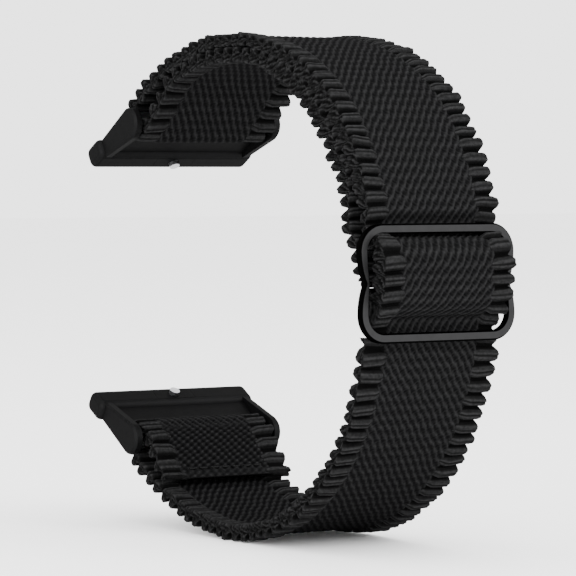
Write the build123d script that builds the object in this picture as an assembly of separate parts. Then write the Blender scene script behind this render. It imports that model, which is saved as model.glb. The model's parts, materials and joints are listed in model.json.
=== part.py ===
from build123d import *
import os
from math import asin, atan2, cos, degrees, hypot, pi, radians, sin, sqrt

# Elastic webbing watch strap with ruffled edges, a sliding buckle and two lug connectors.
# Millimetres. +X runs across the strap, +Z is up, and -Y points from the lugs to the buckle.
# The loop is drawn about the level of the buckle's middle bar, which is height zero here,
# and every piece is moved on export so that the upper lug rail's centre is the origin.

# Loop: middle surface of the outer webbing, three tangent arcs each side of the buckle
near_radius = 38.7
near_turn = radians(38)
shoulder_radius = 33.6
shoulder_turn = radians(45)
far_radius = 45.3
far_turn = radians(46)

# The buckle sits a little above the middle, turned about the near arc's centre
buckle_rise = radians(1.9)

# Webbing
body_width = 16.5
web_thickness = 1.4
layer_spacing = 2.2
stretch_end = 30.0
merge_length = 17.0
wrap_flat_length = 3.0
crest_flat = 2.5

# Ruffled edges
ruffle_reach = 3.7
woven_reach = 3.1
ruffle_pitch = 2.15
ruffle_height = 2.0
ruffle_ply = 0.65
ruffle_end_gap = 0.25

# Buckle
buckle_side_clearance = 0.2
buckle_length = 16.9
buckle_thickness = 1.25
buckle_bar = 1.45
buckle_corner = 4.0
waist_notch = 0.95
waist_inner_notch = 0.3
waist_round = 0.3
buckle_edge = 0.25
bar_radius = 0.5
bar_drop = 0.48
bar_clearance = 0.5

# Sewn inner end, a thinner loop round the buckle's middle bar
loop_thickness = 0.9
loop_clearance = 0.05
loop_over_clearance = 0.75
loop_start_height = 8.6
loop_leg = 2.8
loop_close = radians(18)

# Folded and sewn lower end
fold_length = 12.8
stitch_radius = 0.16
stitch_length = 1.3
stitch_pitch = 2.0
stitch_inset = 1.6
stitch_clearance = 0.01

# Lug connectors
pin_radius = 1.7
pin_end_radius = 0.9
pin_end_gap = 0.1
pin_clearance = 0.05
pin_seat_clearance = 0.02
pin_seat_depth = 0.85
rail_reach = 9.4
connector_tilt = radians(-8)
rail_overhang = 0.7
rail_depth = 4.4
rail_height = 3.4
rail_round = 1.2
rail_end_round = 0.9
web_side_clearance = 0.35
cheek_wall = 1.3
cheek_nose = 2.5
cheek_nose_lead = 0.8
cheek_nose_inset = 0.8
cheek_tail = 1.3
cheek_edge = 0.35
swivel_clearance = 0.45
web_plate = 1.9

# Latch in each rail
pocket_length = 7.0
pocket_width = 2.4
pocket_depth = 2.6
cover_thickness = 0.4
cover_fit = 0.04
plunger_radius = 0.8
plunger_proud = 0.7
plunger_clearance = 0.05
flange_radius = 1.1
flange_thickness = 0.4
flange_gap = 0.02
leaf_thickness = 0.15
leaf_width = 1.6
leaf_length = 6.0
leaf_gap = 0.03
pad_length = 4.0
pad_width = 1.8
pad_thickness = 0.5
pad_recess = 0.3
pad_fit = 0.04
pad_offset = 9.0

cut_overrun = 1.0
straight_limit = 1e-6

half_body = body_width / 2
half_width = half_body + ruffle_reach
buckle_width = 2 * (half_width + buckle_side_clearance + buckle_bar)
cheek_gap = 2 * (half_width + web_side_clearance)
rail_length = cheek_gap + 2 * (cheek_wall + rail_overhang)


# A pose is (y, z, heading). Heading 0 points up, and a positive turn leans it towards +Y.
# A move is (radius, turn), both negative where it bends outwards, or (0, length) if straight.
def shifted(pose, offset):
    y, z, heading = pose
    return y - offset * cos(heading), z + offset * sin(heading)


def step(pose, move, share=1.0):
    y, z, heading = pose
    radius, turn = move
    if radius == 0:
        run = turn * share
        return y + run * sin(heading), z + run * cos(heading), heading
    centre = shifted(pose, -radius)
    swung = heading + turn * share
    y, z = shifted((*centre, swung), radius)
    return y, z, swung


def move_length(move):
    radius, turn = move
    return turn if radius == 0 else radius * turn


def path_length(moves):
    return sum(move_length(move) for move in moves)


def pose_at(pose, moves, length):
    for move in moves[:-1]:
        if length <= move_length(move):
            return step(pose, move, length / move_length(move))
        length -= move_length(move)
        pose = step(pose, move)
    return step(pose, moves[-1], length / move_length(moves[-1]))


def between(moves, start, end):
    """The moves that lie between two lengths along a path."""
    kept, passed = [], 0
    for radius, turn in moves:
        whole = move_length((radius, turn))
        low, high = max(start - passed, 0), min(end - passed, whole)
        if high - low > straight_limit:
            kept.append((radius, turn * (high - low) / whole))
        passed += whole
    return kept


def backwards(moves):
    """The same path walked from its other end."""
    return [(r, t) if r == 0 else (-r, -t) for r, t in reversed(moves)]


def end_of(pose, moves):
    for move in moves:
        pose = step(pose, move)
    return pose


def turned_round(pose):
    return pose[0], pose[1], pose[2] + pi


def arc_to(pose, target):
    """The single arc that leaves a pose along its heading and ends at a point."""
    along, up = target[0] - pose[0], target[1] - pose[1]
    turn = 2 * (atan2(along, up) - pose[2])
    turn = atan2(sin(turn / 2), cos(turn / 2)) * 2
    chord = hypot(along, up)
    if abs(turn) < straight_limit:
        return 0, chord
    return chord / (2 * sin(turn / 2)), turn


def biarc(start, end):
    """Two tangent arcs that join two poses."""
    go, stop = (sin(start[2]), cos(start[2])), (sin(end[2]), cos(end[2]))
    along, up = end[0] - start[0], end[1] - start[1]
    straight = along * (go[0] + stop[0]) + up * (go[1] + stop[1])
    spread = 2 * (1 - go[0] * stop[0] - go[1] * stop[1])
    span = along**2 + up**2
    if spread < straight_limit:
        reach = span / (2 * straight)
    else:
        reach = (sqrt(straight**2 + spread * span) - straight) / spread
    joint = [(a + b + reach * (g - s)) / 2 for a, b, g, s in zip(start, end, go, stop)]
    first = arc_to(start, joint)
    return [first, arc_to(step(start, first), end)]


def edge_chain(pose, moves, offset):
    """Edges along a path at an offset to its outer side."""
    edges = []
    for radius, turn in moves:
        parts = 1 if radius == 0 else 1 + int(abs(turn) // (pi * 0.8))
        for _ in range(parts):
            piece = (radius, turn / parts)
            ends = [shifted(step(pose, piece, share), offset) for share in (0, 0.5, 1)]
            points = [(0, *point) for point in ends]
            straight = radius == 0
            edges.append(Line(points[0], points[2]) if straight else ThreePointArc(*points))
            pose = step(pose, piece)
    return edges


def closed_face(upper, lower):
    """The face between two chains of edges that run the same way."""
    ends = [Line(upper[0] @ 0, lower[0] @ 0), Line(upper[-1] @ 1, lower[-1] @ 1)]
    return Face(Wire([*upper, *lower, *ends]))


def ribbon(pose, moves, thickness):
    half = thickness / 2
    return closed_face(edge_chain(pose, moves, half), edge_chain(pose, moves, -half))


def wave_face(pose, moves):
    """A ruffle seen from its end: a ply that folds up and down along the path."""
    web, crest = ruffle_ply / 2, ruffle_height / 2
    whole = path_length(moves)
    count = max(2, round(2 * (whole - 2 * web) / ruffle_pitch))
    half_wave = (whole - 2 * web) / count
    upper, lower = [], []
    for i in range(count):
        side = 1 if i % 2 == 0 else -1
        start, end = web + half_wave * i, web + half_wave * (i + 1)
        wide = (start - web, (start + end) / 2, end + web), side * crest
        tight = (start + web, (start + end) / 2, end - web), side * (crest - ruffle_ply)
        for chain, (stations, top) in ((upper, (wide, tight)[i % 2]), (lower, (tight, wide)[i % 2])):
            at = [pose_at(pose, moves, station) for station in stations]
            points = [(0, *shifted(place, rim)) for place, rim in zip(at, (0, top, 0))]
            chain.append(ThreePointArc(*points))
    return closed_face(upper, lower)


def across(face, width):
    """A face spread evenly across the strap."""
    return extrude(face, amount=width / 2, dir=(1, 0, 0), both=True)


def side_bands(face, inner, outer):
    """A face spread over the same band on both sides of the strap."""
    band = Pos(inner, 0, 0) * extrude(face, amount=outer - inner, dir=(1, 0, 0))
    return [band, mirror(band, about=Plane.YZ)]


def group(solids):
    return Compound(children=[Solid(s.solids()[0].wrapped) for s in solids])


def flipped(shape):
    """The same shape at the strap's other end."""
    return mirror(shape, about=Plane.XY)


def raised(shape):
    """A shape of the buckle, turned from the middle up to where the buckle sits."""
    turn = Pos(0, near_radius, 0) * Rot(-degrees(buckle_rise), 0, 0) * Pos(0, -near_radius, 0)
    return turn * shape


# Path of the outer webbing, from the buckle's middle up and round to the lug
apex = (0, 0, 0)
outer_moves = [(near_radius, near_turn), (shoulder_radius, shoulder_turn), (far_radius, far_turn)]
outer_length = path_length(outer_moves)
lug_pose = end_of(apex, outer_moves)
wrap_radius = pin_radius + pin_clearance + web_thickness / 2
pin_y, pin_z = shifted(lug_pose, -wrap_radius)

# Path of the inner layer, under the outer one, from the same level
inner_apex = (layer_spacing, 0, 0)
inner_moves = [(radius - layer_spacing, turn) for radius, turn in outer_moves]
inner_length = path_length(inner_moves)
inner_stretch_end = stretch_end * (near_radius - layer_spacing) / near_radius
inner_wrap_end = (*shifted(lug_pose, -2 * wrap_radius), lug_pose[2] + pi)

# Buckle: its bars lie just outside the webbing, and the webbing passes over the middle bar
# The buckle's own pieces are drawn level, and then turned to where it sits
bar_height = (buckle_length - buckle_bar) / 2
weave_angle = asin(bar_height / near_radius)
weave_station = near_radius * weave_angle
weave_pose = pose_at(apex, outer_moves, weave_station)
rise_length = near_radius * buckle_rise
buckle_back = weave_pose[0] - (web_thickness / 2) / cos(weave_angle) - bar_clearance
buckle_middle = buckle_back - buckle_thickness / 2
bar_y = buckle_middle + bar_drop
loop_radius = bar_radius + loop_clearance + loop_thickness / 2
crest_y = bar_y - loop_radius - loop_thickness / 2 - loop_over_clearance - web_thickness / 2
weave_rise = biarc((crest_y, crest_flat, 0), weave_pose)
weave_start = (weave_pose[0], -weave_pose[1], -weave_pose[2])
weave_moves = [*reversed(weave_rise), (0, 2 * crest_flat), *weave_rise]


def wide_wrap(pose, moves):
    """The flattened edges of the webbing where it goes round a strap pin."""
    return side_bands(ribbon(pose, moves, web_thickness), half_body, half_width)


def lug_webbing(outer_start, inner_moves_kept):
    """The webbing from a length along the outer run, round the strap pin and back inside."""
    start = pose_at(apex, outer_moves, outer_start)
    run = between(outer_moves, outer_start, outer_length)
    wrap = [(wrap_radius, pi)]
    whole = across(ribbon(start, run + wrap + inner_moves_kept, web_thickness), body_width)
    flat_start = pose_at(apex, outer_moves, outer_length - wrap_flat_length)
    flat = between(outer_moves, outer_length - wrap_flat_length, outer_length)
    back = between(inner_moves_kept, 0, wrap_flat_length)
    edges = wide_wrap(flat_start, flat + wrap + back)
    return whole + edges[0] + edges[1]


def ruffles(pose, moves, reach=ruffle_reach):
    return side_bands(wave_face(pose, moves), half_body, half_body + reach)


def run_ruffles(start, end):
    """The ruffles of the outer layer between two lengths along it."""
    return ruffles(pose_at(apex, outer_moves, start), between(outer_moves, start, end))


def stretch_run(start):
    """The outer webbing from a station beside the buckle to the end of the stretch."""
    face = ribbon(pose_at(apex, outer_moves, start), between(outer_moves, start, stretch_end), web_thickness)
    return across(face, body_width)


def inner_ruffles(start, end):
    return ruffles(pose_at(inner_apex, inner_moves, start), between(inner_moves, start, end))


# Inner layer from the strap pin: two arcs bring it close under the outer layer
merge_station = inner_length - merge_length
merge_pose = turned_round(pose_at(inner_apex, inner_moves, merge_station))
merge_moves = biarc(inner_wrap_end, merge_pose)
upper_back = backwards(between(inner_moves, inner_stretch_end, merge_station))
fold_back = backwards(between(inner_moves, 0, merge_station))
fold_moves = between(merge_moves + fold_back, 0, fold_length)
flat_station = outer_length - wrap_flat_length
inner_flat_station = inner_length - wrap_flat_length


def buckle_side(width, corner_x, top, corner, notch):
    """One quarter of a buckle outline, from its top middle to its pinched waist."""
    knee = top - corner
    bend = (notch**2 + knee**2) / (2 * notch)
    sweep = asin(knee / bend) / 2
    waist = (width - bend + bend * cos(sweep), knee - bend * sin(sweep))
    diagonal = corner * (1 - sqrt(0.5))
    return [
        Line((0, top), (corner_x, top)),
        ThreePointArc((corner_x, top), (width - diagonal, top - diagonal), (width, knee)),
        ThreePointArc((width, knee), waist, (width - notch, 0)),
    ]


def buckle_outline(width, top, corner, notch):
    quarter = Curve() + buckle_side(width, width - corner, top, corner, notch)
    half = quarter + mirror(quarter, about=Plane.YZ)
    whole = make_face(half + mirror(half, about=Plane.XZ))
    waists = [v for v in whole.vertices() if abs(v.Y) < corner / 2]
    return fillet(waists, waist_round)


def make_buckle():
    half_buckle, top = buckle_width / 2, buckle_length / 2
    outside = buckle_outline(half_buckle, top, buckle_corner, waist_notch)
    inside = buckle_outline(
        half_buckle - buckle_bar, top - buckle_bar, buckle_corner - buckle_bar, waist_inner_notch
    )
    plate = extrude(outside - inside, amount=buckle_thickness / 2, both=True)
    faces = plate.faces().filter_by(Axis.Z).sort_by(Axis.Z)
    plate = chamfer(faces[0].edges() + faces[-1].edges(), buckle_edge)
    plate = Pos(0, buckle_middle, 0) * Rot(90, 0, 0) * plate
    bar_span = buckle_width - 2 * waist_notch - buckle_edge
    bar = Pos(0, bar_y, 0) * Rot(0, 90, 0) * Cylinder(bar_radius, bar_span)
    return plate + bar


def end_loop_path():
    """The inner layer's end: down to the middle bar, round it and a short way up again."""
    angle = asin(loop_start_height / (near_radius - layer_spacing))
    station = (near_radius - layer_spacing) * angle
    start = turned_round(pose_at(inner_apex, inner_moves, station))
    beside = (bar_y + loop_radius, 0, pi)
    leg = biarc(start, beside)
    return station, start, leg, [*leg, (loop_radius, pi + loop_close), (0, loop_leg)]


def stitch_row(pose, depth):
    """A row of short thread stitches across the body, laid on a surface."""
    count = int((body_width - 2 * stitch_inset) // stitch_pitch) + 1
    y, z = shifted(pose, depth + stitch_radius + stitch_clearance)
    rows = []
    for i in range(count):
        x = (i - (count - 1) / 2) * stitch_pitch
        rows.append(Pos(x, y, z) * Rot(0, 90, 0) * Cylinder(stitch_radius, stitch_length))
    return rows


# Connector pieces are drawn with the strap pin at zero: x towards the rail, y to the
# strap's inner side, z across the strap. This location puts them at the upper strap pin.
rail_heading = lug_pose[2] + connector_tilt
toward_rail = Vector(0, sin(rail_heading), cos(rail_heading))
connector_plane = Plane(origin=(0, pin_y, pin_z), x_dir=toward_rail, z_dir=(1, 0, 0))
cross_side = connector_plane.y_dir.Y * cos(rail_heading) > 0
inner_sign = 1 if cross_side else -1
rail_at = Pos(rail_reach, 0, 0)
rail_y = pin_y + rail_reach * toward_rail.Y
rail_z = pin_z + rail_reach * toward_rail.Z


def rail_block(length, width, low, high, along=0):
    """A block in the rail: length across the strap, between two depths to the inner side."""
    middle, depth = inner_sign * (low + high) / 2, high - low
    return Pos(rail_reach, middle, along) * Box(width, depth, length)


def rail_disc(radius, low, high):
    middle, depth = inner_sign * (low + high) / 2, high - low
    return Pos(rail_reach, middle, 0) * Rot(90, 0, 0) * Cylinder(radius, depth)


def make_lug_body():
    half_rail = rail_height / 2
    rail = extrude(rail_at * RectangleRounded(rail_depth, rail_height, rail_round), rail_length / 2, both=True)
    rail = fillet(rail.faces().sort_by(Axis.Z)[-1].edges() + rail.faces().sort_by(Axis.Z)[0].edges(), rail_end_round)
    half_over = cheek_gap / 2 + cheek_wall
    nose = Pos(-cheek_nose_lead, inner_sign * cheek_nose_inset, 0) * Circle(cheek_nose)
    cheek = make_hull([nose.edge(), (rail_at * Circle(cheek_tail)).edge()])
    cheeks = extrude(cheek, amount=half_over, both=True)
    cheeks = chamfer(cheeks.faces().filter_by(Plane.XY).edges(), cheek_edge)
    cheeks -= Box(2 * rail_reach, 2 * rail_depth, cheek_gap)
    clear = wrap_radius + web_thickness / 2 + swivel_clearance
    plate = Pos(rail_reach / 2, 0, 0) * Box(rail_reach, web_plate, cheek_gap + cheek_wall)
    plate -= Cylinder(clear, rail_length)
    plate -= Pos(-rail_reach, 0, 0) * Box(2 * rail_reach, 2 * rail_depth, rail_length)
    body = rail + cheeks + plate
    body -= Cylinder(pin_end_radius + pin_seat_clearance, cheek_gap + 2 * pin_seat_depth)
    body -= rail_block(pocket_length, pocket_width, half_rail - pocket_depth, half_rail + cut_overrun)
    for side in (-1, 1):
        body -= rail_block(
            pad_length, pad_width, -half_rail - cut_overrun, pad_recess - half_rail, side * pad_offset
        )
    return body


def make_pin():
    """A turned pin: a thick middle between the cheeks and a thinner end in a blind seat of each."""
    end_span = cheek_gap + 2 * (pin_seat_depth - pin_end_gap)
    return Cylinder(pin_radius, cheek_gap - 2 * pin_end_gap) + Cylinder(pin_end_radius, end_span)


def make_latch_cover():
    half_rail = rail_height / 2
    plate = rail_block(
        pocket_length - 2 * cover_fit, pocket_width - 2 * cover_fit, half_rail - cover_thickness, half_rail
    )
    return plate - rail_disc(plunger_radius + plunger_clearance, 0, rail_height)


flange_top = rail_height / 2 - cover_thickness - flange_gap
pocket_floor = rail_height / 2 - pocket_depth


def make_plunger():
    stem = rail_disc(plunger_radius, flange_top - flange_thickness, rail_height / 2 + plunger_proud)
    return stem + rail_disc(flange_radius, flange_top - flange_thickness, flange_top)


def make_leaf_spring():
    """A bowed leaf that rests on the pocket floor and lifts the plunger in its middle."""
    low = inner_sign * (pocket_floor + leaf_gap)
    high = inner_sign * (flange_top - flange_thickness - leaf_gap)
    inset = inner_sign * leaf_thickness
    half = leaf_length / 2
    top = ThreePointArc((-half, low + inset), (0, high), (half, low + inset))
    foot = ThreePointArc((-half, low), (0, high - inset), (half, low))
    ends = [Line(top @ 0, foot @ 0), Line(top @ 1, foot @ 1)]
    bow = extrude(Face(Wire([top, foot, *ends])), amount=leaf_width / 2, both=True)
    return rail_at * Rot(0, 90, 0) * bow


def make_pads():
    low = pad_recess - rail_height / 2 - pad_thickness
    return [
        rail_block(
            pad_length - 2 * pad_fit, pad_width - 2 * pad_fit, low, pad_recess - rail_height / 2, side * pad_offset
        )
        for side in (-1, 1)
    ]


def make_connector():
    """Every piece of one connector, at the strap's upper end."""
    at = connector_plane.location
    pieces = {
        "lug_body": make_lug_body(),
        "strap_pin": make_pin(),
        "latch_cover": make_latch_cover(),
        "latch_plunger": make_plunger(),
        "latch_spring": make_leaf_spring(),
        "rattle_pads": group(make_pads()),
    }
    return {name: at * piece for name, piece in pieces.items()}


def make_strap():
    """Every node of the strap, about the level of the buckle's middle."""
    nodes = {}
    gap = ruffle_end_gap
    nodes["upper_webbing"] = lug_webbing(stretch_end, merge_moves + upper_back)
    upper_trim = run_ruffles(stretch_end, flat_station - gap)
    back_end = min(inner_flat_station, merge_station) - gap
    nodes["upper_ruffles"] = group(upper_trim + inner_ruffles(inner_stretch_end, back_end))
    above, below = weave_station + rise_length, weave_station - rise_length
    beside_bar = buckle_bar / 2 + gap
    nodes["upper_stretch_webbing"] = stretch_run(above)
    nodes["upper_stretch_ruffles"] = group(run_ruffles(above + beside_bar, stretch_end - gap))
    nodes["lower_webbing"] = flipped(lug_webbing(stretch_end, fold_moves))
    nodes["lower_ruffles"] = flipped(group(upper_trim + fold_ruffles()))
    nodes["lower_stretch_webbing"] = flipped(stretch_run(below))
    nodes["lower_stretch_ruffles"] = flipped(group(run_ruffles(below + beside_bar, stretch_end - gap)))
    fold_end = pose_at(inner_wrap_end, fold_moves, fold_length - stitch_inset)
    nodes["lower_fold_stitches"] = flipped(group(stitch_row(fold_end, web_thickness / 2)))

    station, start, leg, loop = end_loop_path()
    inner_from = station + (near_radius - layer_spacing) * buckle_rise
    inner_zone = between(inner_moves, inner_from, inner_stretch_end)
    inner_start = pose_at(inner_apex, inner_moves, inner_from)
    nodes["inner_stretch_webbing"] = across(ribbon(inner_start, inner_zone, loop_thickness), body_width)
    nodes["inner_stretch_ruffles"] = group(inner_ruffles(inner_from + gap, inner_stretch_end - gap))

    slider = {"end_loop_webbing": across(ribbon(start, loop, loop_thickness), body_width)}
    leg_trim = between(leg, gap, path_length(leg) - bar_radius - ruffle_height / 2)
    slider["end_loop_ruffles"] = group(ruffles(pose_at(start, leg, gap), leg_trim))
    seam = pose_at(start, leg, path_length(leg) - loop_leg)
    slider["end_loop_stitches"] = group(stitch_row(seam, loop_thickness / 2))
    slider["woven_webbing"] = across(ribbon(weave_start, weave_moves, web_thickness), body_width)
    skip = move_length(weave_rise[1])
    crest_trim = between(weave_moves, skip, path_length(weave_moves) - skip)
    crest_start = pose_at(weave_start, weave_moves, skip)
    slider["woven_ruffles"] = group(ruffles(crest_start, crest_trim, woven_reach))
    slider["slider_frame"] = make_buckle()
    for name, piece in slider.items():
        nodes[name] = raised(piece)
    for name, piece in make_connector().items():
        nodes["upper_" + name] = piece
        nodes["lower_" + name] = flipped(piece)
    return nodes


def fold_ruffles():
    """The ruffles of the folded inner end, as they lie at the upper end before flipping."""
    start = wrap_flat_length + ruffle_end_gap
    first = pose_at(inner_wrap_end, fold_moves, start)
    return ruffles(first, between(fold_moves, start, fold_length))


if __name__ == "__main__":
    os.makedirs("parts", exist_ok=True)
    for name, shape in make_strap().items():
        placed = Pos(0, -rail_y, -rail_z) * shape
        export_step(placed, f"parts/{name}.step")
    print("upper rail centre", round(rail_y, 3), round(rail_z, 3), "pin", round(pin_y, 3), round(pin_z, 3))
    print("near arc centre", round(near_radius - rail_y, 3), round(-rail_z, 3))
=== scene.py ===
import json
from math import asin, atan2, cos, hypot, pi, radians, sin, sqrt

import bpy
import numpy as np
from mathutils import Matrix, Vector


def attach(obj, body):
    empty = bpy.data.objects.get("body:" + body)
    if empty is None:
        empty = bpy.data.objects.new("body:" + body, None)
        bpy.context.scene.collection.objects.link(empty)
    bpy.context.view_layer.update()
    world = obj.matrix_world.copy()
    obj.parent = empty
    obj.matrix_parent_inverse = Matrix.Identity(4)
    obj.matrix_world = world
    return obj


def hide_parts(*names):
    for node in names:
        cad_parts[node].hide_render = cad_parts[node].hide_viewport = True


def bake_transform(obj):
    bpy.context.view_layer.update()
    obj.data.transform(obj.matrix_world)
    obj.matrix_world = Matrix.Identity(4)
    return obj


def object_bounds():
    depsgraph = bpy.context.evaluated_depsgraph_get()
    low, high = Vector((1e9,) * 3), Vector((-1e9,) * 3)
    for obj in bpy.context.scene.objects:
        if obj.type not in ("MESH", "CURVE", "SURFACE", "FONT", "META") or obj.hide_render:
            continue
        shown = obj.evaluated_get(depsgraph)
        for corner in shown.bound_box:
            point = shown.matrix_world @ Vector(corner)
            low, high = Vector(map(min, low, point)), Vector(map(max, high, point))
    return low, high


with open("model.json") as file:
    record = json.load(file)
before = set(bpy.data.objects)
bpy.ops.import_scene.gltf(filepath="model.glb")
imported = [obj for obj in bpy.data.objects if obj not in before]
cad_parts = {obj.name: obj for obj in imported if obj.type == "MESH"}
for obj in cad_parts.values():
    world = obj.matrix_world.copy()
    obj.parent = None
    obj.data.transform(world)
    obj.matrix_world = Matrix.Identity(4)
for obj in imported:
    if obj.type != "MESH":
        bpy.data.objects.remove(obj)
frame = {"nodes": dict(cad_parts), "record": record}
cad_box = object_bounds()

# Lengths are in millimetres, with y from the outer layer behind the buckle and z from the
# buckle's middle. Meshes are written in metres about the upper lug rail, as in the frame
MM = 0.001
seed = 41

# Loop and webbing. Each outer move is a radius and a turn, from the buckle to the lugs
outer_moves = [(38.7, radians(38)), (33.6, radians(45)), (45.3, radians(46))]
near_radius = outer_moves[0][0]
buckle_rise = radians(1.9)
body_width, web_thickness, loop_thickness = 16.5, 1.4, 0.9
layer_spacing, stretch_end, merge_length = 2.2, 30.0, 17.0
crest_flat = 2.5
fold_length, hem_width = 10.5, 1.45
pin_radius, pin_clearance = 1.7, 0.05
wrap_radius = pin_radius + pin_clearance + web_thickness / 2
rail_reach, connector_tilt = 9.4, radians(-8)

# Buckle
buckle_length, buckle_bar, buckle_thickness = 16.9, 1.45, 1.25
bar_clearance, bar_drop, bar_radius, loop_clearance = 0.5, 0.48, 0.5, 0.05
loop_radius = bar_radius + loop_clearance + loop_thickness / 2
loop_over_clearance, loop_start_height, loop_leg, loop_close = 0.75, 8.6, 2.8, radians(18)

# Ruffled edges. The folds' spacing grows by slack_growth along an edge, and the first few
# are wider still
ruffle_reach, ruffle_pitch, ruffle_ply = 3.7, 2.3, 0.8
slack_growth, first_slack, first_folds = 1.28, 0.35, 3
root_inset = 0.8
layer_height, single_height, wrapped_height, pressed_height = 0.88, 1.0, 0.25, 0.35
half_body = body_width / 2


# A pose is (y, z, heading), and a move (radius, turn) or (0, length) if straight
def shifted(pose, offset):
    """The point beside a pose, offset to the outside of the loop."""
    return pose[0] - offset * cos(pose[2]), pose[1] + offset * sin(pose[2])


def step(pose, move, share=1.0):
    y, z, heading = pose
    radius, turn = move
    if radius == 0:
        return y + turn * share * sin(heading), z + turn * share * cos(heading), heading
    centre = shifted(pose, -radius)
    swung = heading + turn * share
    return (*shifted((*centre, swung), radius), swung)


def move_length(move):
    return move[1] if move[0] == 0 else move[0] * move[1]


def path_length(moves):
    return sum(move_length(move) for move in moves)


def pose_at(pose, moves, length):
    for move in moves[:-1]:
        if length <= move_length(move):
            return step(pose, move, length / move_length(move))
        length -= move_length(move)
        pose = step(pose, move)
    return step(pose, moves[-1], length / move_length(moves[-1]))


def between(moves, start, end):
    """The part of a walk from one length along it to another."""
    kept, passed = [], 0
    for radius, turn in moves:
        whole = move_length((radius, turn))
        low, high = max(start - passed, 0), min(end - passed, whole)
        if high - low > 1e-6:
            kept.append((radius, turn * (high - low) / whole))
        passed += whole
    return kept


def backwards(moves):
    return [(r, t) if r == 0 else (-r, -t) for r, t in reversed(moves)]


def arc_to(pose, target):
    """The one move that leaves a pose along its heading and reaches the target."""
    along, up = target[0] - pose[0], target[1] - pose[1]
    turn = 2 * (atan2(along, up) - pose[2])
    turn = atan2(sin(turn / 2), cos(turn / 2)) * 2
    chord = hypot(along, up)
    if abs(turn) < 1e-6:
        return 0, chord
    return chord / (2 * sin(turn / 2)), turn


def biarc(start, end):
    """Two moves from one pose to another that meet both headings."""
    go, stop = (sin(start[2]), cos(start[2])), (sin(end[2]), cos(end[2]))
    along, up = end[0] - start[0], end[1] - start[1]
    straight = along * (go[0] + stop[0]) + up * (go[1] + stop[1])
    spread = 2 * (1 - go[0] * stop[0] - go[1] * stop[1])
    span = along**2 + up**2
    if spread < 1e-6:
        reach = span / (2 * straight)
    else:
        reach = (sqrt(straight**2 + spread * span) - straight) / spread
    joint = [(a + b + reach * (g - s)) / 2 for a, b, g, s in zip(start, end, go, stop)]
    first = arc_to(start, joint)
    return [first, arc_to(step(start, first), end)]


def turned(pose, angle):
    """A pose turned about the near arc's centre, positive towards the top."""
    y, z = pose[0] - near_radius, pose[1]
    return near_radius + y * cos(angle) + z * sin(angle), z * cos(angle) - y * sin(angle), pose[2] + angle


def end_of(pose, moves):
    for move in moves:
        pose = step(pose, move)
    return pose


apex = (0, 0, 0)
outer_length = path_length(outer_moves)
lug_pose = end_of(apex, outer_moves)
pin_y, pin_z = shifted(lug_pose, -wrap_radius)
rail_heading = lug_pose[2] + connector_tilt
rail_y, rail_z = pin_y + rail_reach * sin(rail_heading), pin_z + rail_reach * cos(rail_heading)
inner_apex = (layer_spacing, 0, 0)
inner_moves = [(radius - layer_spacing, turn) for radius, turn in outer_moves]
inner_length = path_length(inner_moves)
inner_wrap_end = (*shifted(lug_pose, -2 * wrap_radius), lug_pose[2] + pi)

bar_height = (buckle_length - buckle_bar) / 2
weave_angle = asin(bar_height / near_radius)
weave_station = near_radius * weave_angle
weave_pose = pose_at(apex, outer_moves, weave_station)
rise_length = near_radius * buckle_rise
buckle_back = weave_pose[0] - (web_thickness / 2) / cos(weave_angle) - bar_clearance
buckle_middle = buckle_back - buckle_thickness / 2
bar_y = buckle_middle + bar_drop
crest_y = bar_y - loop_radius - loop_thickness / 2 - loop_over_clearance - web_thickness / 2
weave_rise = biarc((crest_y, crest_flat, 0), weave_pose)
weave_moves = [*reversed(weave_rise), (0, 2 * crest_flat), *weave_rise]
weave_start = (weave_pose[0], -weave_pose[1], -weave_pose[2])

merge_station = inner_length - merge_length
merge_pose = pose_at(inner_apex, inner_moves, merge_station)
merge_moves = biarc(inner_wrap_end, (merge_pose[0], merge_pose[1], merge_pose[2] + pi))
fold_moves = between(merge_moves + backwards(between(inner_moves, 0, merge_station)), 0, fold_length)

loop_angle = asin(loop_start_height / (near_radius - layer_spacing))
loop_station = (near_radius - layer_spacing) * loop_angle
leg_start = pose_at(inner_apex, inner_moves, loop_station)
leg_moves = biarc((leg_start[0], leg_start[1], leg_start[2] + pi), (bar_y + loop_radius, 0, pi))
inner_from = loop_station + (near_radius - layer_spacing) * buckle_rise

# The upper band, walked from under the buckle's lower bar, out through its window, up and
# round the strap pin, and back inside to the sewn loop round the middle bar
wrap_moves = [(wrap_radius, pi)]
upper_outer = between(outer_moves, weave_station + rise_length, outer_length)
upper_inner = merge_moves + backwards(between(inner_moves, inner_from, merge_station))
upper_start = turned(weave_start, buckle_rise)
upper_moves = weave_moves + upper_outer + wrap_moves + upper_inner + leg_moves
upper_moves += [(loop_radius, pi + loop_close), (0, loop_leg)]

# The lower band, drawn at the upper end and then flipped
below = weave_station - rise_length
lower_start = pose_at(apex, outer_moves, below)
lower_moves = between(outer_moves, below, outer_length) + wrap_moves + fold_moves


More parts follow.
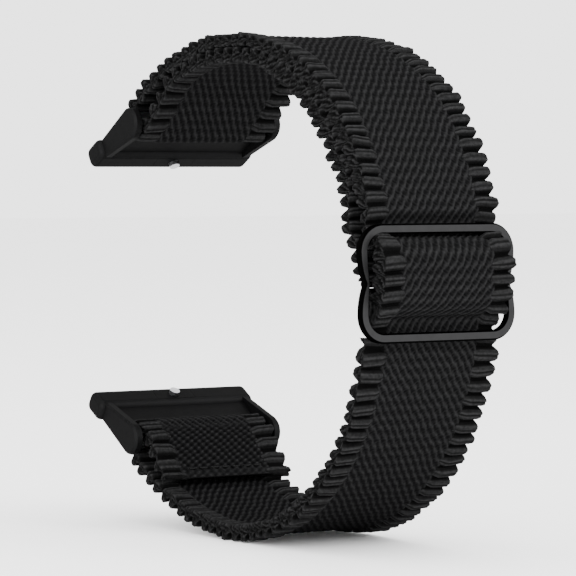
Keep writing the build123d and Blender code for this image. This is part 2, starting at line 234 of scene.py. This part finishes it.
class Path:
    """Positions, outward directions and headings along a walk, at any lengths."""

    def __init__(self, pose, moves):
        self.poses, self.moves, self.starts = [], moves, [0.0]
        for move in moves:
            self.poses.append(pose)
            pose = step(pose, move)
            self.starts.append(self.starts[-1] + move_length(move))
        self.length = self.starts[-1]

    def at(self, s):
        """Arrays of y, z and heading at lengths s. Past either end it runs on."""
        s = np.asarray(s, float)
        index = np.clip(np.searchsorted(self.starts, s, side="right") - 1, 0, len(self.moves) - 1)
        y, z, heading = np.empty_like(s), np.empty_like(s), np.empty_like(s)
        for i, (radius, turn) in enumerate(self.moves):
            on = index == i
            run = s[on] - self.starts[i]
            y0, z0, h0 = self.poses[i]
            if radius == 0:
                y[on], z[on] = y0 + run * sin(h0), z0 + run * cos(h0)
                heading[on] = h0
            else:
                cy, cz = shifted(self.poses[i], -radius)
                h = h0 + run / radius
                y[on], z[on], heading[on] = cy - radius * np.cos(h), cz + radius * np.sin(h), h
        return y, z, heading

    def point(self, x, s, height):
        """Points at a distance x across, a length s and a height over the middle surface."""
        y, z, heading = self.at(s)
        return np.stack([x, y - height * np.cos(heading), z + height * np.sin(heading)], axis=-1)


upper_path = Path(upper_start, upper_moves)
lower_path = Path(lower_start, lower_moves)


def add_object(name, data):
    piece = bpy.data.objects.new(name, data)
    bpy.context.scene.collection.objects.link(piece)
    return piece


def tube_faces(rings, sides, base=0):
    """Quads over a closed tube of rings, with a face at each end."""
    i, j = np.meshgrid(np.arange(rings - 1), np.arange(sides), indexing="ij")
    k = (j + 1) % sides
    quads = np.stack([i * sides + j, i * sides + k, (i + 1) * sides + k, (i + 1) * sides + j], axis=-1)
    faces = (quads.reshape(-1, 4) + base).tolist()
    faces.append([base + j for j in reversed(range(sides))])
    faces.append([base + (rings - 1) * sides + j for j in range(sides)])
    return faces


# Power that deepens the painted shade stored with each mesh
painted_shade_contrast = 2.0


def tubes(name, grids, flip=False, shades=None):
    """One mesh of closed tubes, each an array of rings by sides by 3. flip mirrors it top to bottom, and shades
    are stored as painted shade for the material.
    """
    points, faces = [], []
    for grid in grids:
        faces += tube_faces(grid.shape[0], grid.shape[1], sum(len(p) for p in points))
        points.append(grid.reshape(-1, 3))
    points = np.concatenate(points)
    if flip:
        points = points * [1, 1, -1]
        faces = [face[::-1] for face in faces]
    points = (points - [0, rail_y, rail_z]) * MM
    mesh = bpy.data.meshes.new(name)
    mesh.from_pydata(points.tolist(), [], faces)
    mesh.polygons.foreach_set("use_smooth", [True] * len(mesh.polygons))
    if shades is not None:
        # The shades are painted shade: darker in gaps, valleys and hollows, lighter on stitches and crests
        layer = mesh.attributes.new("relief_and_painted_shade", "FLOAT", "POINT")
        values = np.concatenate([shade.ravel() for shade in shades]) ** painted_shade_contrast
        layer.data.foreach_set("value", values.astype(np.float32))
    mesh.update()
    return add_object(name, mesh)


# Where along each band its stretches begin and end
weave_length = path_length(weave_moves)
upper_wrap = weave_length + path_length(upper_outer)
wrap_middle = upper_wrap + path_length(wrap_moves) / 2
loop_begin = upper_path.length - loop_leg - loop_radius * (pi + loop_close)
leg_begin = loop_begin - path_length(leg_moves)
lower_wrap_middle = lower_path.length - path_length(fold_moves) - path_length(wrap_moves) / 2
fold_begin = lower_path.length - path_length(fold_moves)
seam_station = lower_path.length - hem_width


def eased(s, start, end):
    """From 0 before start to 1 after end, smoothly."""
    share = np.clip((s - start) / (end - start), 0, 1)
    return share * share * (3 - 2 * share)


def hump(s, place, rise_start, rise_end, fall_start, fall_end, fall_place=None):
    """From 0 up to 1 and back to 0, with the four lengths given from a place on the band."""
    back = place if fall_place is None else fall_place
    return eased(s, place + rise_start, place + rise_end) * (1 - eased(s, back + fall_start, back + fall_end))


# How far the layers stand off their path
lift_above, lift_behind, lift_loop, lift_crest, foot_drop = 1.35, 0.25, 0.5, 0.6, 1.2
fold_press = 0.8


def upper_lift(s):
    """Above the buckle, behind it, at the sewn loop, on the crest in the window and down at its foot."""
    above = hump(s, weave_length, 0.6, 2.6, 14, 42)
    behind = hump(s, leg_begin, -44, -18, -3.0, -0.4, fall_place=loop_begin)
    loop = hump(s, leg_begin, -6, 1, -3.0, -0.4, fall_place=loop_begin)
    crest = hump(s, weave_length, -8.5, -4, -3.4, -0.8)
    foot = hump(s, 0, 0.9, 3.0, 4.4, 9.5)
    return lift_above * above + lift_behind * behind + lift_loop * loop + lift_crest * crest - foot_drop * foot


def lower_lift(s):
    """The folded end is pressed against the layer under it."""
    return -fold_press * eased(s, lower_path.length - 8.0, lower_path.length - 1.5)


# Woven body: slanted stitches in columns, each running on into the next column's, so
# that chains of them climb across the band. On the inner run they lean the other way, in the relief and in its
# painted shade, standing in for light that falls on that run from the other side
column_pitch, row_pitch, inner_row_pitch = 1.28, 1.6, 2.0
column_sway, row_sway, chain_jog = 0.06, 0.05, 0.1
hatch_across, hatch_along, hatch_share, bridge_share = 1.3, 2.0, 0.36, 0.24
relief_depth, rim_round, face_lift = 0.3, 0.7, 0.06
hole_width, hole_pitch = 0.28, 1.4
face_columns, back_columns, lower_back_columns = 97, 19, 49


def woven_relief(u, s, rows_apart, lean, fineness=hatch_share):
    """Height from 0 in the gaps to 1 on the stitches, at u across and s along. It is also painted as shade,
    darker in the gaps.
    """
    column = u / column_pitch + column_sway * np.sin(2 * pi * s / 7.3 + 0.4 * u)
    row = lean * s / rows_apart + row_sway * np.sin(2 * pi * u / 5.9 + 0.5 * s)
    chain = row - column - chain_jog * np.sin(2 * pi * column)
    stitch = (0.5 + 0.5 * np.cos(2 * pi * chain)) ** 1.25
    bridge = 0.5 + 0.5 * np.cos(2 * pi * (column + 2 * row) + 0.8)
    hatch = 0.5 + 0.5 * np.cos(2 * pi * (hatch_across * u + hatch_along * lean * s))
    return np.clip(0.04 + 0.86 * stitch + (1 - stitch) * (bridge_share * bridge + fineness * hatch), 0, 1)


def dotted_relief(u, s):
    """The webbing at rest, where its stitches lie as close staggered dots."""
    one = np.cos(2 * pi * (0.68 * u - 0.45 * s) + 0.5 * np.sin(u * 1.1 + s * 0.7))
    other = np.cos(2 * pi * (0.64 * u + 1.15 * s) + 0.5 * np.sin(u * 0.8 - s * 1.3))
    return np.clip(0.46 + 0.25 * (one + other) + 0.08 * np.cos(2 * pi * (1.7 * u - 1.9 * s)), 0, 1)


def band_grid(path, s, thickness, lift, relief_at, back_relief_at=None, far_columns=back_columns):
    """Rings of the woven body along the path, and the relief of each point, which sets its height and is also
    painted as shade, darker in the gaps.
    """

    def side(columns, sign, weave):
        u = np.linspace(-half_body, half_body, columns) * sign
        rim = np.clip((np.abs(u) - (half_body - rim_round)) / rim_round, 0, 1)
        edge = 1 - 0.5 * (1 - np.sqrt(1 - 0.98 * rim**2))
        uu, ss = np.meshgrid(u, s)
        relief_and_painted_shade = weave(uu, ss) if weave else 0.5 * np.ones_like(uu)
        height = (thickness(ss) / 2 + face_lift) * edge - relief_depth * (1 - relief_and_painted_shade) * edge
        return path.point(uu, ss, lift(ss) + sign * height), relief_and_painted_shade

    outer, shade = side(face_columns, 1, relief_at)
    inner, back_shade = side(far_columns, -1, back_relief_at)
    return np.concatenate([outer, inner], axis=1), np.concatenate([shade, back_shade], axis=1)


# Ruffles: a ply in folds, with places across it from its root to its rim, and down the rim
ply_places = np.array([0, 0.06, 0.13, 0.2, 0.28, 0.37, 0.47, 0.57, 0.68, 0.79, 0.88, 0.95, 0.985, 1.0])[None, :]
rim_places = np.array([0.07, 0.16, 0.26, 0.37, 0.48, 0.59, 0.7, 0.81, 0.91])[None, :]
fold_samples = 24
cleft_share, ripple_depth = 0.085, 0.5
line_pitch, line_depth, crinkle_depth = 0.37, 0.045, 0.05
rim_hollow, pucker_depth = 0.42, 0.13
# Least value of the painted shade on the ruffles
darkest = 0.04


def folded(angle):
    """A fold's profile, from 1 on its crest to -1 in the valley."""
    return 1.04 * np.cos(angle) - 0.06 * np.cos(3 * angle)


def groove(angle):
    """A narrow line pressed into the crest."""
    return 0.15 * np.exp(-((1 - np.cos(angle)) / 0.06))


# Painted shade of a fold: lighter on its crest, darker in its valley and in the pressed line, with the weft
# lines painted lighter and darker
def fold_shade(angle, lines):
    return np.clip(0.47 + 0.62 * folded(angle) - 4.5 * groove(angle) + 0.17 * lines, darkest, 1)


def ruffle_grid(path, side, start, end, height_at, reach_at, lift, seed_now, growth, depth_at=None):
    """Rings of one ruffled edge, each from the root over the rim and back under, and their painted shades."""
    draw = np.random.default_rng(seed_now)
    count = max(2, round((end - start) / ruffle_pitch))
    slack = np.linspace(1, growth, count) + first_slack * np.exp(-np.arange(count) / first_folds)
    widths = draw.uniform(0.88, 1.12, count) * slack
    starts = start + np.concatenate([[0], np.cumsum(widths)]) * (end - start) / widths.sum()
    wave = np.append(np.repeat(np.arange(count), fold_samples), count - 1)
    share = np.append(np.tile(np.arange(fold_samples) / fold_samples, count), 1.0)
    pitch = starts[wave + 1] - starts[wave]
    stations = starts[wave] + share * pitch

    def smooth_pick(low, high):
        """A value drawn for each fold, eased from one to the next."""
        values = draw.uniform(low, high, count + 1)
        mix = 0.5 - 0.5 * np.cos(pi * share)
        return (values[wave] * (1 - mix) + values[wave + 1] * mix)[:, None]

    # The upper face follows phase and the lower one, a little out of step, behind
    t, s = ply_places, stations[:, None]
    grow = 0.15 + 0.85 * eased(t, 0.02, 0.32)
    phase = 2 * pi * share[:, None]
    behind = phase + smooth_pick(0.3, 1.5)
    cleft = pitch[:, None] * cleft_share * grow
    reach = reach_at(stations)[:, None] * smooth_pick(0.95, 1.05) * (0.91 + 0.09 * np.cos(phase + 0.4))
    swing = height_at(stations)[:, None] * smooth_pick(0.88, 1.05)
    curl = smooth_pick(-0.25, 0.25)
    lean = smooth_pick(-0.3, 0.3)
    middle = lift(stations)[:, None] + curl * swing * t**2
    along = s + lean * t**2
    rounded = np.sqrt(1 - 0.8 * np.clip((t - 0.93) / 0.07, 0, 1) ** 2)
    half = ruffle_ply / 2 * (1.1 - 0.1 * eased(t, 0, 0.3)) * rounded
    crinkle = crinkle_depth * np.sin(s * 9.1 + 19 * t + side) * np.sin(27 * t + s * 5.3)
    lines = np.cos(2 * pi * s / line_pitch + 0.8 * np.sin(3 * t))
    weft = line_depth * lines
    x = half_body - root_inset + (reach + root_inset) * t
    top = swing * grow * (0.46 + 0.54 * folded(phase) - groove(phase)) + half + (crinkle + weft) * t
    depth = depth_at(stations)[:, None] if depth_at else 0.0
    ripple = ripple_depth * np.exp(-0.7 * depth)
    foot = swing * grow * (0.46 + ripple * folded(behind) - groove(behind)) + half - (crinkle - weft) * t
    foot = foot + depth * grow
    shift, back_shift = cleft * np.sin(phase), cleft * np.sin(behind)
    outer = path.point(side * x, along + shift, middle + top)
    inner = path.point(side * x, along + back_shift, middle - foot)

    # The rim is hollow and puckered between the two faces
    down = rim_places
    curls = 0.5 + 0.5 * np.cos(phase + 1.2 * (down - 0.5)) + 0.25 * np.sin(5 * phase + 9 * down)
    puckers = np.sin(s * 13.7 + 11 * down) * np.sin(23 * down + s * 6.1)
    puckers = puckers + 0.7 * np.sin(s * 8.3 - 17 * down + 2.0)
    hollow = rim_hollow * np.sin(pi * down) ** 1.5 * np.clip(curls, 0.1, 1.2)
    hollow = hollow + pucker_depth * puckers * np.sin(pi * down)
    rim_height = middle[:, -1:] + top[:, -1:] * (1 - down) - foot[:, -1:] * down
    rim_along = along[:, -1:] + shift[:, -1:] * (1 - down) + back_shift[:, -1:] * down
    rim = path.point(side * (x[:, -1:] - hollow), rim_along, rim_height)
    rings = np.concatenate([outer, rim, inner[:, ::-1]], axis=1)
    # Painted shade on the rim: darker in its hollows and puckers
    rim_shade = np.clip(0.7 - 1.1 * hollow - 0.4 * puckers, darkest, 1)
    shade = np.concatenate([fold_shade(phase, lines), rim_shade, fold_shade(behind, lines)[:, ::-1]], axis=1)
    return (rings[:, ::-1], shade[:, ::-1]) if side > 0 else (rings, shade)


def ruffle_pair(name, seed_now, flip=False, **how):
    made = [ruffle_grid(side=side, seed_now=seed_now + side, **how) for side in (-1, 1)]
    return tubes(name, [grid for grid, _ in made], flip=flip, shades=[shade for _, shade in made])


def heights(base, places):
    """Half height of the folds: base(s), eased down near each (place, half width, height)."""

    def height_at(s):
        result = base(s)
        for place, half_span, low in places:
            near = eased(np.abs(s - place), half_span, half_span + 1.5)
            result = np.minimum(result, low + (result - low) * near)
        return result

    return height_at


def upper_thickness(s):
    return web_thickness + (loop_thickness - web_thickness) * eased(s, leg_begin - 16, leg_begin - 12)


def lower_thickness(s):
    return web_thickness * (1 - 0.6 * eased(s, lower_path.length - 1.3, lower_path.length))


def rows(start, end, spacing):
    """Lengths from start to end, about the spacing apart."""
    return np.linspace(start, end, int((end - start) / spacing) + 2)


def outer_weave(u, s):
    return woven_relief(u, s, row_pitch, 1)


def inner_weave(u, s):
    return woven_relief(u, s, inner_row_pitch, -1)


def back_weave(u, s):
    return woven_relief(u, s, row_pitch, 1, fineness=0.0)


def folded_weave(u, s):
    """Chains outside, dots on the folded end, and its sewn hem with the needle's holes. The holes are also
    painted darker, as shade in them.
    """
    share = eased(s, fold_begin, fold_begin + 2)
    relief_and_painted_shade = outer_weave(u, s) * (1 - share) + dotted_relief(u, s) * share
    hem = 0.8 * eased(s, seam_station - 0.4, seam_station - 0.15)
    holes = (0.5 + 0.5 * np.cos(2 * pi * u / hole_pitch)) ** 2
    holes = np.exp(-(((s - seam_station) / hole_width) ** 2)) * holes
    return relief_and_painted_shade * (1 - hem) + (0.42 + 0.45 * relief_and_painted_shade - 0.6 * holes) * hem


outer_rows = rows(0, wrap_middle, 0.12)
inner_rows = rows(wrap_middle, upper_path.length, 0.13)
lower_rows = rows(0, lower_path.length, 0.14)
rings, shade = band_grid(upper_path, outer_rows, upper_thickness, upper_lift, outer_weave)
upper_band = tubes("upper_outer_webbing", [rings], shades=[shade])
rings, shade = band_grid(upper_path, inner_rows, upper_thickness, upper_lift, inner_weave)
inner_band = tubes("upper_inner_webbing", [rings], shades=[shade])
rings, shade = band_grid(
    lower_path, lower_rows, lower_thickness, lower_lift, folded_weave,
    back_relief_at=back_weave, far_columns=lower_back_columns,
)
lower_band = tubes("lower_band_webbing", [rings], flip=True, shades=[shade])

# How much deeper the folds hang where the webbing is bunched about the buckle
depth_below, depth_window, depth_above, depth_inner = 1.4, 1.5, 1.3, 0.9


def near_lug(s):
    return 1 - eased(np.abs(s - wrap_middle), 9, 18)


def outer_depth(s):
    """Under the lower bar, in the window and above the buckle."""
    below = hump(s, 0, 1.6, 3.6, -2.0, -0.9, fall_place=weave_length / 2)
    window = hump(s, 0, 1.6, 4.0, -5.5, -2.5, fall_place=weave_length)
    above = hump(s, weave_length, 2, 5, 24, 44)
    return depth_below * below + depth_window * window + depth_above * above


def inner_depth(s):
    """The same on the layer under it, towards the outer one."""
    return depth_inner * hump(s, leg_begin, -44, -24, -6, -2)


def near_buckle(s, away):
    """1 beside the buckle, easing to 0 away from it, on both layers of the upper band."""
    return 1 - hump(s, weave_length, away, away + 20, -away - 20, -away, fall_place=leg_begin)


def upper_reach(s):
    """How far the upper band's ruffles reach from the body: less beside the buckle and on the outer run."""
    woven = 1 - eased(s, weave_length - 0.5, weave_length + 1.5)
    crown = hump(s, 0, 2.0, 7.0, -7.0, -2.0, fall_place=weave_length)
    beside = near_buckle(s, 16) * (1 - eased(s, upper_wrap, upper_wrap + 1))
    outside = 1 - eased(s, upper_wrap - 20, upper_wrap - 5)
    return ruffle_reach - 0.25 * outside - 0.3 * np.maximum(beside, woven) - 0.1 * woven + 0.2 * crown * woven


def lower_reach(s):
    return np.full_like(s, ruffle_reach - 0.15)


def upper_base(s):
    beside = np.maximum(near_buckle(s, 14), near_lug(s))
    dip = 1 - eased(np.abs(s - weave_length - 45), 5, 13)
    return layer_height + (single_height - layer_height) * beside - 0.2 * dip


def lower_base(s):
    return single_height - 0.25 * hump(s, fold_begin, -22, -18, -14, -9)


upper_places = [
    (0.0, 0.5, pressed_height), (weave_length, 0.5, pressed_height), (wrap_middle, 4.0, wrapped_height),
]
lower_places = [
    (0.0, 0.5, pressed_height), (lower_wrap_middle, 4.0, wrapped_height),
    (lower_path.length, 2.0, pressed_height),
]
upper_height, lower_height = heights(upper_base, upper_places), heights(lower_base, lower_places)
upper_folds = {"path": upper_path, "height_at": upper_height, "reach_at": upper_reach, "lift": upper_lift}
lower_folds = {"path": lower_path, "height_at": lower_height, "reach_at": lower_reach, "lift": lower_lift}
upper_ruffles = ruffle_pair(
    "upper_outer_ruffles", seed, start=0.0, end=wrap_middle, depth_at=outer_depth,
    growth=slack_growth, **upper_folds,
)
inner_ruffles = ruffle_pair(
    "upper_inner_ruffles", seed + 5, start=wrap_middle, end=loop_begin - 0.5, depth_at=inner_depth,
    growth=1 / slack_growth, **upper_folds,
)
lower_ruffles = ruffle_pair(
    "lower_band_ruffles", seed + 10, flip=True, start=0.0, end=lower_path.length - 0.2,
    growth=slack_growth, **lower_folds,
)


# Sewn stitches: short threads that dip into the webbing at both ends
stitch_count, stitch_pitch, stitch_length, thread_radius = 7, 2.0, 1.3, 0.13
thread_rings, thread_sides = 9, 8


def stitches(name, path, station, height, flip=False):
    a = np.linspace(-1, 1, thread_rings)
    angle = np.linspace(0, 2 * pi, thread_sides, endpoint=False)
    ring = thread_radius * np.stack([0 * angle, np.cos(angle), np.sin(angle)], axis=-1)
    grids = []
    for i in range(stitch_count):
        x = (i - stitch_count // 2) * stitch_pitch + stitch_length / 2 * a
        middle = path.point(x, np.full_like(a, station), height * (1 - 0.9 * a**4))
        grids.append(middle[:, None, :] + ring[None, :, :])
    return tubes(name, grids, flip=flip)


seam_height = lower_thickness(seam_station) / 2 + lower_lift(seam_station) - 0.02
fold_seam = stitches("lower_fold_thread", lower_path, seam_station, seam_height, flip=True)
loop_seam = stitches("end_loop_thread", upper_path, loop_begin - 1.2, loop_thickness / 2 + 0.05)

# Leaf springs under the latch plungers, drawn bowed, as they sit when the plungers are not pressed. Levels
# inside a rail are measured from its middle towards the loop's inside
leaf_length, leaf_width, leaf_thickness, leaf_rings = 6.0, 1.6, 0.15, 33
leaf_floor, leaf_crest = -0.87, 0.85
rail_out = (sin(rail_heading), cos(rail_heading))
rail_in = (cos(rail_heading), -sin(rail_heading))


def leaf_spring(name, flip=False):
    """A bowed leaf, drawn in the upper rail."""
    x = np.linspace(-leaf_length / 2, leaf_length / 2, leaf_rings)
    bow = leaf_floor + (leaf_crest - leaf_floor) * (1 - (2 * x / leaf_length) ** 2)
    ring = []
    for side, drop in ((-1, 0.0), (1, 0.0), (1, -leaf_thickness), (-1, -leaf_thickness)):
        level, beside = bow + drop, side * leaf_width / 2
        y = rail_y + level * rail_in[0] + beside * rail_out[0]
        z = rail_z + level * rail_in[1] + beside * rail_out[1]
        ring.append(np.stack([x, y, z], axis=-1))
    return tubes(name, [np.stack(ring, axis=1)], flip=flip)


upper_spring = leaf_spring("upper_leaf_spring")
lower_spring = leaf_spring("lower_leaf_spring", flip=True)


# Materials. A colour mix takes its two colours at sockets 6 and 7 and gives its result at 2
MIX_FACTOR, MIX_FIRST, MIX_SECOND, MIX_RESULT = 0, 6, 7, 2
# The second number scales the painted groove shade
bump_distance, painted_shade_gain = 0.0002, 1.8
# Faces turned further than these from the front get the painted dark side colour
side_facing, face_facing = 0.93, 0.995


def grey(level, blue):
    return level, level, blue


def colour_mix(nodes, first=None, second=None):
    mix = nodes.new("ShaderNodeMix")
    mix.data_type = "RGBA"
    for socket, colour in ((MIX_FIRST, first), (MIX_SECOND, second)):
        if colour:
            mix.inputs[socket].default_value = (*colour, 1)
    return mix


def noise_at(nodes, links, place, scale, detail):
    noise = nodes.new("ShaderNodeTexNoise")
    noise.inputs["Scale"].default_value = scale
    noise.inputs["Detail"].default_value = detail
    links.new(place.outputs["Object"], noise.inputs["Vector"])
    return noise.outputs["Fac"]


def maths(nodes, links, operation, first, second=None):
    """One step of arithmetic on a socket, with a socket or a number."""
    node = nodes.new("ShaderNodeMath")
    node.operation = operation
    links.new(first, node.inputs[0])
    if isinstance(second, float):
        node.inputs[1].default_value = second
    elif second:
        links.new(second, node.inputs[1])
    return node.outputs[0]


def make_material(
    name, dark, light, roughness, noise_scale, bump,
    metallic=0.0, specular=0.5, tint=1.0, relief_and_painted_shade=False, painted_side_shade=None,
):
    """A procedural finish: noise between two tones and fine bumps. The relief flag paints shade into the
    grooves from the stored relief, and the side colour is a dark painted shade and reflection on the faces that
    look sideways or up."""
    material = bpy.data.materials.new(name)
    material.use_nodes = True
    nodes, links = material.node_tree.nodes, material.node_tree.links
    shader = nodes["Principled BSDF"]
    shader.inputs["Roughness"].default_value = roughness
    shader.inputs["Metallic"].default_value = metallic
    shader.inputs["Specular IOR Level"].default_value = specular
    shader.inputs["Specular Tint"].default_value = (tint, tint, tint, 1)
    place = nodes.new("ShaderNodeTexCoord")
    share = noise_at(nodes, links, place, noise_scale, 4.0)
    # Painted shade: the stored relief darkens the tone in the grooves, valleys and hollows
    if relief_and_painted_shade:
        layer = nodes.new("ShaderNodeAttribute")
        layer.attribute_name = "relief_and_painted_shade"
        share = maths(nodes, links, "MULTIPLY", layer.outputs["Fac"], share)
        share = maths(nodes, links, "MULTIPLY", share, painted_shade_gain)
    tones = colour_mix(nodes, dark, light)
    links.new(share, tones.inputs[MIX_FACTOR])
    finish = tones.outputs[MIX_RESULT]
    # Painted shade and reflection: faces that look sideways or up are mixed to the dark side colour
    if painted_side_shade:
        normal = nodes.new("ShaderNodeSeparateXYZ")
        links.new(place.outputs["Normal"], normal.inputs[0])
        flat = nodes.new("ShaderNodeMapRange")
        flat.inputs[1].default_value, flat.inputs[2].default_value = side_facing, face_facing
        links.new(maths(nodes, links, "ABSOLUTE", normal.outputs[1]), flat.inputs[0])
        sides = colour_mix(nodes, first=painted_side_shade)
        links.new(flat.outputs[0], sides.inputs[MIX_FACTOR])
        links.new(finish, sides.inputs[MIX_SECOND])
        finish = sides.outputs[MIX_RESULT]
    links.new(finish, shader.inputs["Base Color"])
    bumps = nodes.new("ShaderNodeBump")
    bumps.inputs["Strength"].default_value = bump
    bumps.inputs["Distance"].default_value = bump_distance
    links.new(noise_at(nodes, links, place, noise_scale * 3, 3.0), bumps.inputs["Height"])
    links.new(bumps.outputs["Normal"], shader.inputs["Normal"])
    return material


# The webbing and ruffles take painted shade from their stored relief, and the buckle's sideways faces get a
# painted dark shade
slot_materials = {
    "webbing": make_material(
        "black_webbing", grey(0.0022, 0.0023), grey(0.0152, 0.0155), 0.75, 2600, 0.5, specular=0.0, relief_and_painted_shade=True
    ),
    "ruffle": make_material(
        "black_ruffle", grey(0.0022, 0.0022), grey(0.0175, 0.0178), 0.72, 2200, 0.6, specular=0.0, relief_and_painted_shade=True
    ),
    "thread": make_material(
        "black_thread", grey(0.003, 0.003), grey(0.009, 0.0092), 0.6, 4000, 0.4, specular=0.05
    ),
    "buckle_metal": make_material(
        "satin_grey_steel", grey(0.019, 0.0194), grey(0.0245, 0.025), 0.42, 900, 0.06,
        metallic=0.9, specular=0.05, tint=0.0, painted_side_shade=grey(0.0005, 0.0005),
    ),
    "lug_metal": make_material(
        "matte_black_steel", grey(0.006, 0.0061), grey(0.009, 0.0092), 0.5, 900, 0.08,
        metallic=0.7, specular=0.05, tint=0.0,
    ),
    "pin_steel": make_material(
        "ground_steel", grey(0.3, 0.31), grey(0.42, 0.43), 0.3, 1200, 0.05, metallic=1.0
    ),
    "pad_rubber": make_material(
        "matte_rubber", grey(0.006, 0.006), grey(0.012, 0.012), 0.85, 1500, 0.3, specular=0.2
    ),
}
pieces_in_slots = {
    "webbing": (upper_band, inner_band, lower_band),
    "ruffle": (upper_ruffles, inner_ruffles, lower_ruffles),
    "thread": (fold_seam, loop_seam),
    "pin_steel": (upper_spring, lower_spring),
}
for slot, pieces in pieces_in_slots.items():
    for piece in pieces:
        piece.data.materials.append(slot_materials[slot])
for entry in frame["record"]["subparts"]:
    node = frame["nodes"][entry["node"]]
    for holder in node.material_slots:
        holder.material = slot_materials[entry["material_slot"]]


upper_still = pose_at(apex, outer_moves, stretch_end)
for piece in (upper_band, inner_band, upper_ruffles, inner_ruffles):
    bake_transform(piece)
for piece in (lower_band, lower_ruffles):
    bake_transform(piece)
for piece, end, side in ((upper_spring, "upper", 1), (lower_spring, "lower", -1)):
    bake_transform(piece)
    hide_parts(f"{end}_latch_spring")
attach(fold_seam, "strap")
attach(loop_seam, "slider")
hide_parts("upper_webbing", "upper_stretch_webbing", "woven_webbing")
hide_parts("inner_stretch_webbing", "end_loop_webbing")
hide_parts("lower_webbing", "lower_stretch_webbing")
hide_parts("upper_ruffles", "upper_stretch_ruffles", "woven_ruffles")
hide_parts("inner_stretch_ruffles", "end_loop_ruffles")
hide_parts("lower_ruffles", "lower_stretch_ruffles")
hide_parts("lower_fold_stitches")
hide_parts("end_loop_stitches")


# Studio: a pale floor, three soft lights and a white surround
floor_drop, floor_half = 0.0005, 3.0
loop_middle = 27.6
surround_strength = 3.0


def tilt_to(piece, target):
    piece.rotation_euler = (Vector(target) - piece.location).to_track_quat("-Z", "Y").to_euler()


floor_z = cad_box[0][2] - floor_drop
corners = [(x * floor_half, y * floor_half, floor_z) for x, y in ((-1, -1), (1, -1), (1, 1), (-1, 1))]
mesh = bpy.data.meshes.new("floor")
mesh.from_pydata(corners, [], [(0, 1, 2, 3)])
floor = add_object("floor", mesh)
floor.data.materials.append(make_material("pale_floor", grey(0.92, 0.92), grey(0.95, 0.95), 0.9, 3, 0.0))

middle = Vector((0.0, (loop_middle - rail_y) * MM, -rail_z * MM))
for name, place, watts, width in (
    ("key_light", (0.35, -0.75, 0.45), 7.0, 0.6),
    ("left_light", (-0.75, -0.3, 0.25), 6.0, 0.6),
    ("top_light", (0.0, -0.1, 0.9), 4.0, 0.8),
):
    lamp = bpy.data.lights.new(name, "AREA")
    lamp.energy, lamp.size = watts, width
    holder = add_object(name, lamp)
    holder.location = middle + Vector(place)
    tilt_to(holder, middle)

world = bpy.data.worlds.new("studio")
bpy.context.scene.world = world
world.use_nodes = True
sky = world.node_tree.nodes["Background"]
sky.inputs["Color"].default_value = (1.0, 1.0, 1.0, 1)
sky.inputs["Strength"].default_value = surround_strength

# Camera: a long lens, fitted to the photograph. Its distance and aim are in millimetres
azimuth, elevation = radians(-33.64), radians(2.02)
distance, aim_right, aim_up = 493.3, -5.30, -0.29
photo_width, focal_pixels = 576, 3297
back = Vector((sin(azimuth) * cos(elevation), -cos(azimuth) * cos(elevation), sin(elevation)))
right = Vector((cos(azimuth), sin(azimuth), 0))
up = back.cross(right)
aim = Vector((0, loop_middle, 0)) + right * aim_right + up * aim_up - Vector((0, rail_y, rail_z))
lens = bpy.data.cameras.new("camera")
lens.sensor_width = 36.0
lens.lens = focal_pixels / photo_width * lens.sensor_width
lens.clip_start, lens.clip_end = 0.05, 20
camera = add_object("camera", lens)
camera.location = (aim + back * distance) * MM
camera.rotation_euler = back.to_track_quat("Z", "Y").to_euler()
bpy.context.scene.camera = camera
